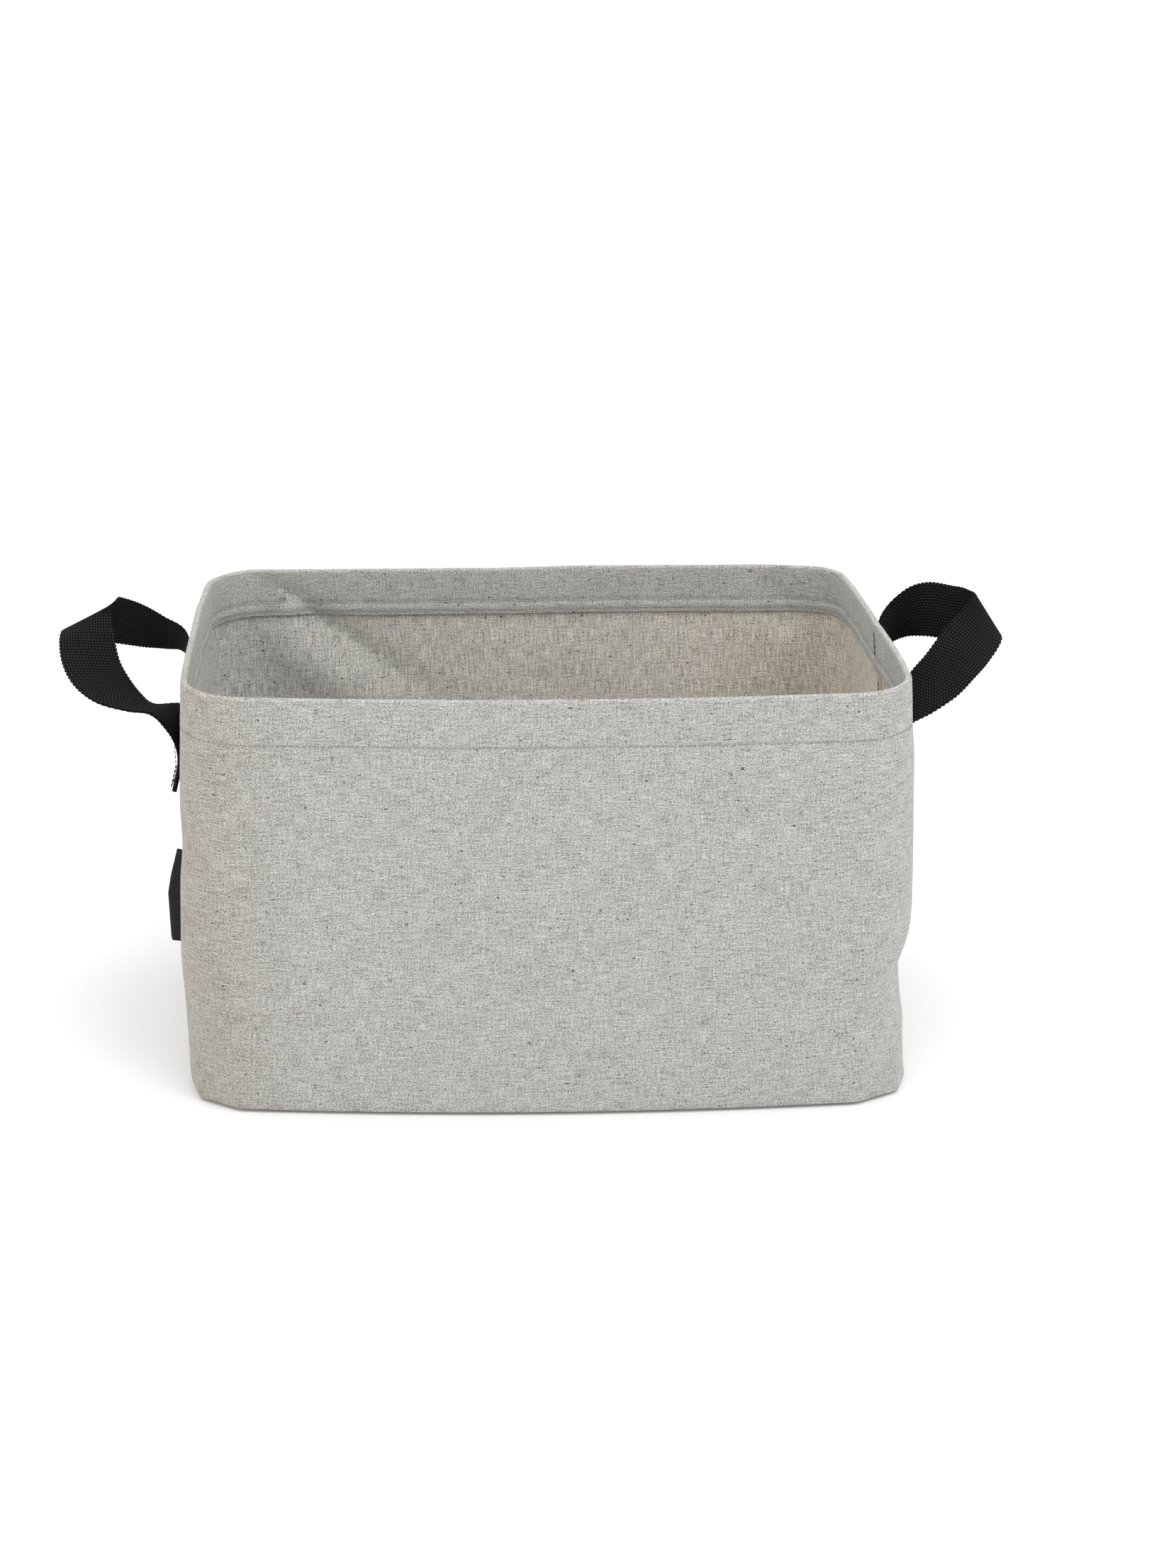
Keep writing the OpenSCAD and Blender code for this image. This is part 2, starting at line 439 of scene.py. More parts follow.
def melange_cloth(name, cool, lighting_colour, x_range, y_range, contrast, streak, slubs):
    """Woven cloth of mixed light and dark yarn, with slubs, dark flecks and a few light nubs.

    Grain rates are in cycles per metre, and each grain has a seed of its own. The second colour is
    painted light and shade, mixed in by place on the bin and in random patches.
    """
    material, tree, shader = new_material(name, 0.92, sheen=0.12, specular=0.15)
    u, v = weave_axes(tree)
    speckle = grain(tree, u, v, 1000, 1000, 1.0)
    upright = grain(tree, u, v, 950, 80, 5.0)
    level = grain(tree, u, v, 80, 950, 9.0)
    cloudy = grain(tree, u, v, 35, 35, 13.0, detail=3.0)
    patches = grain(tree, u, v, 60, 80, 17.0, detail=2.0)
    dark_slub = above(tree, grain(tree, u, v, 110, 700, 21.0), 0.66, 0.76)
    dark_fleck = above(tree, grain(tree, u, v, 300, 340, 25.0), 0.69, 0.76)
    light_nub = above(tree, grain(tree, u, v, 300, 560, 29.0), 0.74, 0.84)
    value = weighted(tree, 1.0, [
        (speckle, 1.7 * contrast),
        (upright, 0.6 * streak),
        (level, 0.7 * contrast),
        (cloudy, 0.2),
    ])
    value = calc(tree, "SUBTRACT", value, calc(tree, "MULTIPLY", dark_slub, 0.30 * slubs))
    value = calc(tree, "SUBTRACT", value, calc(tree, "MULTIPLY", dark_fleck, 0.45 * slubs))
    value = calc(tree, "ADD", value, calc(tree, "MULTIPLY", light_nub, 0.35 * slubs))
    # The second colour comes in as painted light and shade by place on the bin, and in random patches
    colour = tint(tree, cool, lighting_colour, lighting_drift_and_patches(tree, patches, x_range, y_range), value)
    tree.links.new(colour, shader.inputs["Base Color"])
    height = plain_weave(tree, u, v, YARN_PITCH)
    height = weighted(tree, height, [(speckle, 0.5), (level, 0.5), (upright, 0.5)])
    set_bump(tree, shader, height, 0.5, 0.00025)
    return material


PICK_STRETCH = 1.15


def webbing_cloth(name, dark, light, pick, strength):
    """Cotton webbing: rows of short picks, each row half a pick further on. The pick tops take the
    lighter colour, a painted highlight.
    """
    material, tree, shader = new_material(name, 0.8, specular=0.06)
    u, v = weave_axes(tree)
    row = calc(tree, "DIVIDE", u, pick)
    offset = calc(tree, "MULTIPLY", calc(tree, "FLOOR", row), 0.5)
    step = calc(tree, "ADD", calc(tree, "DIVIDE", v, pick * PICK_STRETCH), offset)
    hump_u = calc(tree, "ABSOLUTE", calc(tree, "SINE", calc(tree, "MULTIPLY", row, math.pi)))
    hump_v = calc(tree, "ABSOLUTE", calc(tree, "SINE", calc(tree, "MULTIPLY", step, math.pi)))
    height = calc(tree, "POWER", calc(tree, "MULTIPLY", hump_u, hump_v), 2.0)
    fibre = grain(tree, u, v, 1500, 1500, 3.0, detail=2.0)
    worn = grain(tree, u, v, 60, 60, 7.0, detail=2.0)
    value = weighted(tree, 1.0, [(fibre, 0.8), (worn, 0.35)])
    # The lighter colour on the tops of the picks is a painted highlight
    colour = tint(tree, dark, light, height, value)
    tree.links.new(colour, shader.inputs["Base Color"])
    set_bump(tree, shader, weighted(tree, height, [(fibre, 0.4)]), strength, 0.0006)
    return material


def thread_material(name, colour):
    """Twisted sewing thread."""
    material, tree, shader = new_material(name, 0.6, sheen=0.1)
    at = add(tree, "ShaderNodeTexCoord").outputs["Object"]
    noise = add(tree, "ShaderNodeTexNoise", None, {"Vector": at, "Scale": 900.0, "Detail": 1.0})
    value = weighted(tree, 1.0, [(noise.outputs["Fac"], 0.5)])
    tree.links.new(tint(tree, colour, colour, 0.0, value), shader.inputs["Base Color"])
    set_bump(tree, shader, noise.outputs["Fac"], 0.3, 0.0002)
    return material


def board_material(name):
    """Grey millboard, a little fibrous."""
    material, tree, shader = new_material(name, 0.85)
    at = add(tree, "ShaderNodeTexCoord").outputs["Object"]
    fibre = add(tree, "ShaderNodeTexNoise", None, {"Vector": at, "Scale": 220.0, "Detail": 5.0})
    value = weighted(tree, 1.0, [(fibre.outputs["Fac"], 0.5)])
    brown = (0.30, 0.25, 0.19, 1)
    grey = (0.36, 0.33, 0.28, 1)
    tree.links.new(tint(tree, brown, grey, fibre.outputs["Fac"], value), shader.inputs["Base Color"])
    set_bump(tree, shader, fibre.outputs["Fac"], 0.3, 0.0003)
    return material


# Where painted lighting comes into a cloth, as (from, to) in metres along x and along y. The outer
# cloth gets a darker, warmer painted shade at its front left corner, and the lining a lighter,
# warmer painted light towards its right. The y range of the second lies past the bin, so that only x
# counts.
FRONT_LEFT_WARM_SHADE = ((-0.14, -0.235), (0.0, -0.125))
WARM_LIGHT_TO_RIGHT = ((-0.2, 0.3), (1.0, 0.9))
# The outer cloth's second colour is a darker, warmer painted shade at its front left corner
OUTER_CLOTH = melange_cloth(
    "outer_cloth", (0.381, 0.381, 0.361, 1), (0.335, 0.309, 0.268, 1), *FRONT_LEFT_WARM_SHADE,
    contrast=1.2, streak=1.1, slubs=1.3)
# The lining's second colour is a lighter, warmer painted light towards the right
LINING_CLOTH = melange_cloth(
    "lining_cloth", (0.460, 0.456, 0.432, 1), (0.585, 0.540, 0.462, 1), *WARM_LIGHT_TO_RIGHT,
    contrast=1.1, streak=2.2, slubs=1.4)
TAPE_CLOTH = melange_cloth(
    "tape_cloth", (0.40, 0.38, 0.33, 1), (0.42, 0.37, 0.31, 1), *WARM_LIGHT_TO_RIGHT,
    contrast=0.5, streak=0.6, slubs=0.2)
STIFFENER_CLOTH = melange_cloth(
    "stiffener_cloth", (0.70, 0.70, 0.68, 1), (0.68, 0.68, 0.66, 1), *WARM_LIGHT_TO_RIGHT,
    contrast=0.3, streak=0.4, slubs=0.0)
# The second colour of each webbing is the painted highlight on its pick tops
WEBBING = webbing_cloth(
    "black_webbing", (0.002, 0.002, 0.002, 1), (0.040, 0.040, 0.041, 1),
    pick=0.0020, strength=1.0)
LABEL_CLOTH = webbing_cloth(
    "label_cloth", (0.020, 0.023, 0.022, 1), (0.050, 0.056, 0.053, 1),
    pick=0.0006, strength=0.3)
LIGHT_THREAD = thread_material("light_thread", (0.40, 0.38, 0.35, 1))
TOP_THREAD = thread_material("top_thread", (0.31, 0.29, 0.265, 1))
DARK_THREAD = thread_material("dark_thread", (0.05, 0.045, 0.04, 1))
BLACK_THREAD = thread_material("black_thread", (0.030, 0.030, 0.031, 1))
BOARD = board_material("board")


# ---------------------------------------------------------------- walls and hem

ROW_STEP = 5.5
WALL_ROWS = 45


def wall_cloth(half):
    """The outer cloth below the topstitch. It turns in under the base and dips at the stitches."""
    rows = np.linspace(6, SEW_Z - 3, WALL_ROWS)
    outer = [(-5, 1.6), (-2.0, 1.4), (-0.8, 1.8), (-0.2, 3.0)] + [(0, z) for z in rows]
    outer += [(0, SEW_Z - 1.2), (-0.2, SEW_Z)]
    inner = [(-CLOTH_T - 0.05, SEW_Z)] + [(-CLOTH_T, z) for z in rows[::-1]]
    inner += [(-1.6, 3.6), (-2.4, 2.8), (-5, 2.6)]
    piece = band(f"{HALVES[half]}_wall_cloth", half, outer + inner, OUTER_CLOTH)
    soft_wall(piece, half, f"outer_{HALVES[half]}_wall")


def wall_lining(half):
    """The lining of one wall, from the board up to the topstitch."""
    profile = strip_profile(CLOTH_T + LAYER_GAP, WALL_T, BOARD_FOOT + 2, SEW_Z, ROW_STEP)
    piece = band(f"{HALVES[half]}_wall_lining", half, profile, LINING_CLOTH)
    soft_wall(piece, half, f"lining_{HALVES[half]}")


def press_down(piece):
    """Attaches a piece below the topstitch to the bin, with a mesh of its own."""
    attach(piece, "bin")
    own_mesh(piece)


def soft_wall(piece, half, node):
    """Attaches a wall cloth or lining to the bin, with a mesh of its own, and hides its CAD part."""
    length = run_along(outline(RIM_Z / 2, half))[-1]
    press_down(piece)
    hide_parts(node)


# The inner hem dips this deep at its two rows of stitches
HEM_PUFF = 0.7
# How far the upper inner row lies above the frame's own, and the lower one above the hem's foot
UPPER_ROW_RISE = 0.4
LOWER_ROW_RISE = 1.9
TURN_STEPS = 11


def hem_inside(inner, top):
    """The hem's face inside the bin: down from the rim, past its two rows of stitches."""
    face = [(-inner, z) for z in np.linspace(top - 3, UPPER_ROW_Z + 4, 4)]
    face += [
        (-inner, UPPER_ROW_Z + 2),
        (-inner + HEM_PUFF, UPPER_ROW_Z + UPPER_ROW_RISE),
        (-inner, UPPER_ROW_Z - 1.4),
    ]
    face += [(-inner - 0.3, z) for z in np.linspace(UPPER_ROW_Z - 3, HEM_FOOT_Z + 4.5, 2)]
    face += [
        (-inner, HEM_FOOT_Z + 3),
        (-inner + HEM_PUFF, HEM_FOOT_Z + LOWER_ROW_RISE),
        (-inner, HEM_FOOT_Z + 0.9),
        (-inner + 0.5, HEM_FOOT_Z),
    ]
    return face


def hem_band(half):
    """The cloth above the topstitch: up to the rim, over the stiffening tape and down inside."""
    inner = HEM_INSET + CLOTH_T
    top = RIM_Z - inner / 2
    outside = [(-0.2, SEW_Z), (0, SEW_Z + 1.0), (0.1, SEW_Z + 4)]
    outside += [(0, z) for z in np.linspace(SEW_Z + 8, top - 1, 5)]
    turn = [(-inner / 2 + inner / 2 * math.cos(a), top + inner / 2 * math.sin(a))
            for a in np.linspace(0, math.pi, TURN_STEPS)]
    face = outside + turn + hem_inside(inner, top)
    back = [
        (-HEM_INSET + 0.3, HEM_FOOT_Z),
        (-HEM_INSET, top - 1),
        (-HEM_INSET / 2 - 0.6, RIM_Z - CLOTH_T),
        (-CLOTH_T, top - 1),
        (-CLOTH_T, SEW_Z),
    ]
    piece = band(f"{HALVES[half]}_hem_cloth", half, face + back, OUTER_CLOTH)
    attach(piece, "rim")
    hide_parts(f"rim_hem_{HALVES[half]}")
    run = half_run(half)


def stiffener(half):
    """Non-woven tape inside the hem, which keeps the rim straight."""
    tape_top = high("rim_stiffener_front")[2] - 0.8
    tape_foot = low("rim_stiffener_front")[2]
    outer = WALL_T + 0.2
    profile = strip_profile(outer, outer + STIFFENER_T, tape_foot, tape_top, 8)
    piece = band(f"{HALVES[half]}_stiffener", half, profile, STIFFENER_CLOTH)
    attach(piece, "rim")
    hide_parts(f"rim_stiffener_{HALVES[half]}")
    run = half_run(half)


# ---------------------------------------------------------------- base

BASE_RINGS = 14
EDGE_DROP = 0.3
CRISP_ANGLE = 40


def all_round(z, out):
    """Points all round the wall at height z, with the front half first."""
    return np.vstack([face_points(z, FRONT, out)[:-1], face_points(z, REAR, out)[:-1]])


def base_layer(name, inset, z0, z1, material):
    """A flat layer of the base, with rings of faces from its edge in. Gives the edge as well."""
    edge = all_round(0, -inset)
    middle = edge.mean(axis=0)
    size = len(edge)
    rings = []
    for i in range(BASE_RINGS):
        share = 1 - (i / BASE_RINGS) ** 1.3
        ring = mix(middle, edge, share)
        ring[:, 2] = z1 - (EDGE_DROP if i == 0 else 0)
        rings.append(ring)
    under = mix(middle, edge, 1)
    under[:, 2] = z0
    rings.insert(0, under)
    points = np.vstack(rings + [[[middle[0], middle[1], z1]], [[middle[0], middle[1], z0]]])
    faces = []
    for i in range(len(rings) - 1):
        for j in range(size):
            k = (j + 1) % size
            faces.append((i * size + j, i * size + k, (i + 1) * size + k, (i + 1) * size + j))
    last = (len(rings) - 1) * size
    top = len(rings) * size
    bottom = top + 1
    faces += [(last + j, last + (j + 1) % size, top) for j in range(size)]
    faces += [((j + 1) % size, j, bottom) for j in range(size)]
    uvs = [points[v, :2] * MM for f in faces for v in f]
    piece = mesh_object(name, points, faces, material, uvs)
    piece.data.set_sharp_from_angle(angle=math.radians(CRISP_ANGLE))
    return piece, edge


def base_sheet(name, inset, z0, z1, material, node):
    """A layer of cloth in the base, cut to the outline."""
    piece, edge = base_layer(name, inset, z0, z1, material)
    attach(piece, "bin")
    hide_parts(node)


def base_board():
    """The stiff board between the cloth and the lining of the base."""
    piece = base_layer("base_board_panel", WALL_T + 0.5, BOARD_FOOT, BOARD_TOP, BOARD)[0]
    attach(piece, "bin")
    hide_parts("base_board")


def base_tape():
    """Tape that binds the seam between the lining of the walls and of the base, all round."""
    outer = WALL_T + LAYER_GAP
    z0 = FLOOR_TOP - 0.5
    z1 = BINDING_TOP
    profile = [
        (-outer, z0), (-outer, z1 - 0.4), (-outer - 0.4, z1), (-outer - 0.9, z1 - 0.6),
        (-outer - 1.0, (z0 + z1) / 2), (-outer - 1.3, z0 + 1.2), (-outer - 3.0, z0 + 0.9),
        (-outer - 3.2, z0),
    ]
    rings = np.stack([all_round(z, out) for out, z in profile], axis=1)
    rings = np.concatenate([rings, rings[:1]])
    across = np.concatenate([half_run(FRONT)[:-1], half_run(REAR)])
    piece = sweep("base_seam_tape", rings, across, run_along(np.array(profile)), TAPE_CLOTH)
    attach(piece, "bin")
    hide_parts("base_seam_binding")


# ---------------------------------------------------------------- seams and stitches


SEAM_GROOVE = 0.5
SEAM_Y = -0.3
STITCH_PITCH = 4.0
STITCH_SIDES = 6
STITCH_TAPER = 0.55


def wall_x(side, y, z):
    """The outer face's x at one point of a side wall: side is -1 for the left, 1 for the right."""
    half = FRONT if y < 0 else REAR
    p = face_points(z, half, 0)
    near = p[np.sign(p[:, 0]) == side]
    near = near[np.argsort(near[:, 1])]
    return float(np.interp(y, near[:, 1], near[:, 0]))


def side_seam_tape(side):
    """The tape up the inside of a side seam, with a groove down its middle."""
    name = "left" if side < 0 else "right"
    half_width = (high("left_seam_binding")[1] - low("left_seam_binding")[1]) / 2
    z0 = BINDING_TOP + 0.3
    z1 = HEM_FOOT_Z - 0.3
    heights = np.linspace(z0, z1, 34)
    offsets = [-half_width, -half_width + 0.8, -1.5, -0.3, 0.3, 1.5, half_width - 0.8, half_width]
    lift = [0.15, 0.75, 0.8, 0.35, 0.35, 0.8, 0.75, 0.15]
    section = list(zip(offsets, lift)) + [(y, 0.02) for y in reversed(offsets)]
    rings = []
    for z in heights:
        ring = []
        for y, up in section:
            sunk = SEAM_GROOVE if abs(y) < 2 else 0
            ring.append((wall_x(side, y, z) - side * (WALL_T - sunk + up), y, z))
        rings.append(ring)
    piece = sweep(f"{name}_seam_tape", rings, heights, run_along(np.array(section)), TAPE_CLOTH)
    press_down(piece)
    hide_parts(f"{name}_seam_binding")


def stitch(path, out, radius):
    """Points and faces of a small rounded stitch along a path. out points away from the cloth."""
    path = np.asarray(path, float)
    along = np.gradient(path, axis=0)
    along /= np.linalg.norm(along, axis=1)[:, None]
    across = np.cross(along, out)
    across /= np.linalg.norm(across, axis=1)[:, None]
    up = np.cross(across, along)
    widths = [STITCH_TAPER] + [1.0] * (len(path) - 2) + [STITCH_TAPER]
    sides = STITCH_SIDES
    points = []
    for p, a, b, w in zip(path, across, up, widths):
        for j in range(sides):
            angle = 2 * math.pi * j / sides
            points.append(p + radius * w * (a * math.cos(angle) + b * math.sin(angle)))
    faces = [(i * sides + j, i * sides + (j + 1) % sides,
              (i + 1) * sides + (j + 1) % sides, (i + 1) * sides + j)
             for i in range(len(path) - 1) for j in range(sides)]
    last = (len(path) - 1) * sides
    faces += [tuple(range(sides - 1, -1, -1)), tuple(last + j for j in range(sides))]
    return points, faces


def stitches(line, out, pitch, gap, radius):
    """Points and faces of separate stitches along a line of points on the cloth."""
    line = np.asarray(line, float)
    out = np.asarray(out, float)
    run = run_along(line)
    points, faces = [], []
    for i in range(int(run[-1] / pitch)):
        marks = np.linspace(i * pitch + gap / 2, (i + 1) * pitch - gap / 2, 4)
        centre = np.column_stack([np.interp(marks, run, line[:, k]) for k in range(3)])
        lift = np.column_stack([np.interp(marks, run, out[:, k]) for k in range(3)])
        height = radius * np.array([-0.3, 0.6, 0.6, -0.3])
        new_points, new_faces = stitch(centre + lift * height[:, None], lift, radius)
        faces += [tuple(len(points) + v for v in f) for f in new_faces]
        points += new_points
    return points, faces


def rim_line(z, out_distance):
    """A closed line round the bin at height z, and the way out of the bin at each point."""
    halves = [face_points(z, half, out_distance)[:-1] for half in (FRONT, REAR)]
    ways = [outward(outline(z, half))[:-1] for half in (FRONT, REAR)]
    line = np.vstack(halves + [halves[0][:1]])
    out = np.vstack(ways + [ways[0][:1]])
    return line, np.column_stack([out, np.zeros(len(out))])


def rim_stitches():
    """The topstitch outside, and two rows inside the hem."""
    inner = HEM_INSET + CLOTH_T - HEM_PUFF
    upper_z = UPPER_ROW_Z + UPPER_ROW_RISE
    lower_z = HEM_FOOT_Z + LOWER_ROW_RISE
    rows = [
        ("topstitch_thread", "rim_topstitch", SEW_Z, -0.25, 1, TOP_THREAD),
        ("upper_hem_thread", "hem_upper_stitch", upper_z, -inner, -1, LIGHT_THREAD),
        ("lower_hem_thread", "hem_lower_stitch", lower_z, -inner, -1, LIGHT_THREAD),
    ]
    for name, node, z, out_distance, way, material in rows:
        line, out = rim_line(z, out_distance)
        points, faces = stitches(line, way * out, STITCH_PITCH, 0.9, 0.34)
        piece = mesh_object(name, points, faces, material)
        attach(piece, "rim")
        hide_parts(node)


def right_seam_thread():
    """The dark thread that shows down the inside of the right side seam, on hem and lining."""
    hem_heights = np.linspace(UPPER_ROW_Z + 3, RIM_Z - 4, 12)
    wall_heights = np.linspace(60, HEM_FOOT_Z - 3, 40)
    hem_inset = HEM_INSET + CLOTH_T + 0.1
    spans = [("hem", hem_heights, hem_inset), ("wall", wall_heights, WALL_T + 0.55)]
    for part, heights, inset in spans:
        line = [(wall_x(1, SEAM_Y, z) - inset, 1.2 * math.sin(z / 9) + SEAM_Y, z) for z in heights]
        out = [(-1, 0, 0)] * len(heights)
        points, faces = stitches(line, out, STITCH_PITCH, 0.1, 0.3)
        piece = mesh_object(f"right_{part}_seam_thread", points, faces, DARK_THREAD)
        if part == "hem":
            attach(piece, "rim")
        else:
            press_down(piece)


# ---------------------------------------------------------------- handles

# Each handle's route: the middle of the webbing, then the way across it from its
# inner edge to its outer edge. It runs from the rear sewn end, round the loop, to the front one.
# At the sewn ends the first number is the gap between the webbing and the wall.
LEFT_ROUTE = [
    ((0, 56, 192), (0, 1, 0)), ((0.5, 56, 210), (0, 1, 0)), ((2.5, 56, 229), (0, 1, 0)),
    ((-240, 56, 252.5), (-0.2, 0.8, -0.55)), ((-252, 47, 262.5), (-0.1, 0.62, -0.78)),
    ((-265, 34, 271.5), (-0.1, 0.4, -0.91)), ((-277, 19, 279.5), (-0.2, 0.32, -0.93)),
    ((-292, 2, 287), (-0.83, 0.2, -0.52)), ((-294, -9, 284.5), (-0.86, -0.3, -0.38)),
    ((-291, -24, 274), (-0.84, -0.42, -0.32)), ((-284, -38, 262), (-0.7, -0.7, -0.2)),
    ((-272, -50, 252.5), (-0.5, -0.86, -0.05)), ((-258, -56, 247), (-0.1, -0.99, 0.05)),
    ((-246, -58, 243), (0.1, -0.98, 0.15)), ((-231.5, -57, 236), (-0.13, -0.98, -0.16)),
    ((2, -56, 221), (0, -1, 0)), ((1, -56, 208), (0, -1, 0)), ((3.5, -56, 193), (0, -1, 0)),
]
RIGHT_ROUTE = [
    ((0, 56, 192), (0, 1, 0)), ((0.5, 56, 210), (0, 1, 0)), ((2.5, 56, 229), (0, 1, 0)),
    ((237.5, 56, 255.5), (0.25, 0.7, -0.67)), ((250, 50, 271), (0.1, 0.3, -0.95)),
    ((264, 40, 277.5), (0, 0, -1)), ((280, 25, 279), (0.05, 0, -1)),
    ((293, 8, 283), (0.4, 0.1, -0.91)), ((297.5, -4, 285), (0.55, 0.15, -0.82)),
    ((288, -18, 277), (0.45, -0.3, -0.84)), ((275, -32, 268.5), (0.5, -0.56, -0.65)),
    ((262, -43, 257.5), (0.45, -0.72, -0.5)), ((249, -50, 248.5), (0.3, -0.85, -0.42)),
    ((236, -55, 237), (0.05, -1, -0.2)), ((2.5, -56, 224), (0, -1, 0)), ((0.5, -56, 208), (0, -1, 0)),
    ((0, -56, 192), (0, -1, 0)),
]
ROUTE_STEPS = 20
# The sewn ends reach this many stations along a route, and are folded under below this height
REAR_SEWN = 2
FRONT_SEWN = 3
END_FOLD_Z = 212
# The least gap between webbing and wall, and how far each sewn box stands in from the edges
WEBBING_GAP = 0.2
BOX_INSET = 3
BOX_PITCH = 3.2
SELVEDGE_PITCH = 3.0
SELVEDGE_DEPTH = 0.45


def spline(points, steps):
    """A smooth line through the points, with a number of steps between each two."""
    p = np.array(points, float)
    padded = np.vstack([2 * p[0] - p[1], p, 2 * p[-1] - p[-2]])
    line = []
    for i in range(len(p) - 1):
        a, b, c, d = padded[i:i + 4]
        for k in range(steps):
            t = k / steps
            line.append(0.5 * (2 * b + (c - a) * t + (2 * a - 5 * b + 4 * c - d) * t ** 2
                               + (3 * b - a - 3 * c + d) * t ** 3))
    line.append(p[-1])
    return np.array(line)


def normalised(v):
    """Each row of v, at a length of 1."""
    return v / np.linalg.norm(v, axis=1)[:, None]


def end_thickness(z):
    """The webbing's thickness at a height: each sewn end is folded under at its foot."""
    return WEBBING_T * mix(1, 1.7, smooth((END_FOLD_Z - z) / 8))


def sewn_to_wall(side, route):
    """Lays the sewn ends of a route on the wall's own curve, each at its own gap."""
    fitted = []
    for (x, y, z), across in route:
        if z <= TAB_HEAD:
            x = wall_x(side, y, z) + side * (x + end_thickness(z) / 2 + WEBBING_GAP)
            lean = wall_x(side, y + WEBBING_W / 2, z) - wall_x(side, y - WEBBING_W / 2, z)
            across = np.array([lean, WEBBING_W, 0]) * np.sign(across[1])
        fitted.append(((x, y, z), across))
    return fitted


def ribbon_frames(route):
    """Middle, across and through directions at even steps along a route."""
    middle = spline([p for p, across in route], ROUTE_STEPS)
    across = spline([normalised(np.array([a], float))[0] for p, a in route], ROUTE_STEPS)
    along = normalised(np.gradient(middle, axis=0))
    across = normalised(across)
    return middle, across, normalised(np.cross(along, across))


def webbing_section():
    """The cross-section of the webbing, as (across, through), with rounded edges."""
    half_w, half_t = WEBBING_W / 2, WEBBING_T / 2
    flat_steps = np.linspace(-1, 1, 15)
    edge_angles = (0.6, 1.2, 1.9, 2.5)
    section = [(s * (half_w - half_t), half_t) for s in flat_steps]
    section += [(half_w - half_t + half_t * math.sin(a), half_t * math.cos(a)) for a in edge_angles]
    section += [(-s * (half_w - half_t), -half_t) for s in flat_steps]
    section += [(-half_w + half_t - half_t * math.sin(a), -half_t * math.cos(a)) for a in edge_angles]
    return np.array(section)


def webbing_rings(route):
    """Rings of points along a whole route, with a scalloped selvedge, and the run at each ring."""
    middle, across, through = ribbon_frames(route)
    run = run_along(middle)
    section = webbing_section()
    edge = smooth((np.abs(section[:, 0]) - WEBBING_W / 2 + 3.5) / 3.5)
    rings = []
    for m, a, n, s in zip(middle, across, through, run):
        scallop = SELVEDGE_DEPTH * math.sin(2 * math.pi * s / SELVEDGE_PITCH)
        width = section[:, 0] + np.sign(section[:, 0]) * edge * scallop
        through_share = section[:, 1] * end_thickness(m[2]) / WEBBING_T
        rings.append(m + np.outer(width, a) + np.outer(through_share, n))
    return np.array(rings), run


def press_with_walls(piece):
    """Rides the rim, with a mesh of its own."""
    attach(piece, "rim")
    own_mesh(piece)


def handle(side, route):
    """A handle of flat webbing in three pieces: the loop, and the two ends sewn to the wall."""
    name = "left" if side < 0 else "right"
    rings, run = webbing_rings(route)
    up = run_along(webbing_section())
    rear_top = REAR_SEWN * ROUTE_STEPS
    front_top = len(rings) - 1 - FRONT_SEWN * ROUTE_STEPS
    spans = {
        "rear_tab": slice(0, rear_top + 1),
        "handle_loop": slice(rear_top, front_top + 1),
        "front_tab": slice(front_top, len(rings)),
    }
    for part, span in spans.items():
        piece = sweep(f"{name}_{part}_webbing", rings[span], run[span], up, WEBBING)
        turn_uv(piece)
        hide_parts(f"{name}_{part}")
        if part == "handle_loop":
            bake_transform(piece)
        else:
            press_with_walls(piece)


def turn_uv(piece):
    """Swaps the two weave directions, so that the first one runs across the webbing."""
    layer = piece.data.uv_layers["weave"]
    values = np.zeros(len(layer.data) * 2, dtype=np.float32)
    layer.data.foreach_get("uv", values)
    layer.data.foreach_set("uv", values.reshape(-1, 2)[:, ::-1].ravel())


def box_stitches(side, route):
    """The two sewn squares with their crosses, which hold the ends of a handle to the wall."""
    name = "left" if side < 0 else "right"
    middle = ribbon_frames(route)[0]
    points, faces = [], []
    half_w = WEBBING_W / 2 - BOX_INSET
    z0 = TAB_FOOT + BOX_INSET
    z1 = TAB_HEAD - BOX_INSET
    for end in (-1, 1):
        near = (np.sign(middle[:, 1]) == end) & (middle[:, 2] < TAB_HEAD + 6)
        order = np.argsort(middle[near, 2])
        z_line, x_line = middle[near, 2][order], middle[near, 0][order]
        y0 = end * TAB_Y - half_w
        y1 = end * TAB_Y + half_w
        corners = [(y0, z0), (y1, z0), (y1, z1), (y0, z1)]
        spans = [(corners[i], corners[(i + 1) % 4]) for i in range(4)]
        spans += [(corners[0], corners[2]), (corners[1], corners[3])]
        for a, b in spans:
            marks = np.linspace(0, 1, 12)
            y = mix(a[0], b[0], marks)
            z = mix(a[1], b[1], marks)
            x = np.interp(z, z_line, x_line) + side * (end_thickness(z) / 2 + 0.05)
            line = np.column_stack([x, y, z])
            length = run_along(line)[-1]
            pitch = length / round(length / BOX_PITCH)
            new_points, new_faces = stitches(line, [(side, 0, 0)] * len(line), pitch, 0.6, 0.32)
            faces += [tuple(len(points) + v for v in f) for f in new_faces]
            points += new_points
    piece = mesh_object(f"{name}_box_stitches", points, faces, BLACK_THREAD)
    press_with_walls(piece)
    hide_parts(f"{name}_tab_stitches")


# ---------------------------------------------------------------- label


# The photograph shows the tag a little higher than the frame has it
LABEL_LIFT = 6
LABEL_ROWS = 26
LABEL_SLANT = 3


def label_side(inner, outer, z, shares, way):
    """One side of the tag's section at a height, gently curled, from the seam out or back."""
    side = []
    for t in shares:
        curl = 0.8 * math.sin(t * 2.4 + z / 40)
        thick = 0.45 if t < 0.97 else 0.25
        side.append((mix(inner, outer, t), curl + way * thick, z + LABEL_SLANT * t))
    return side


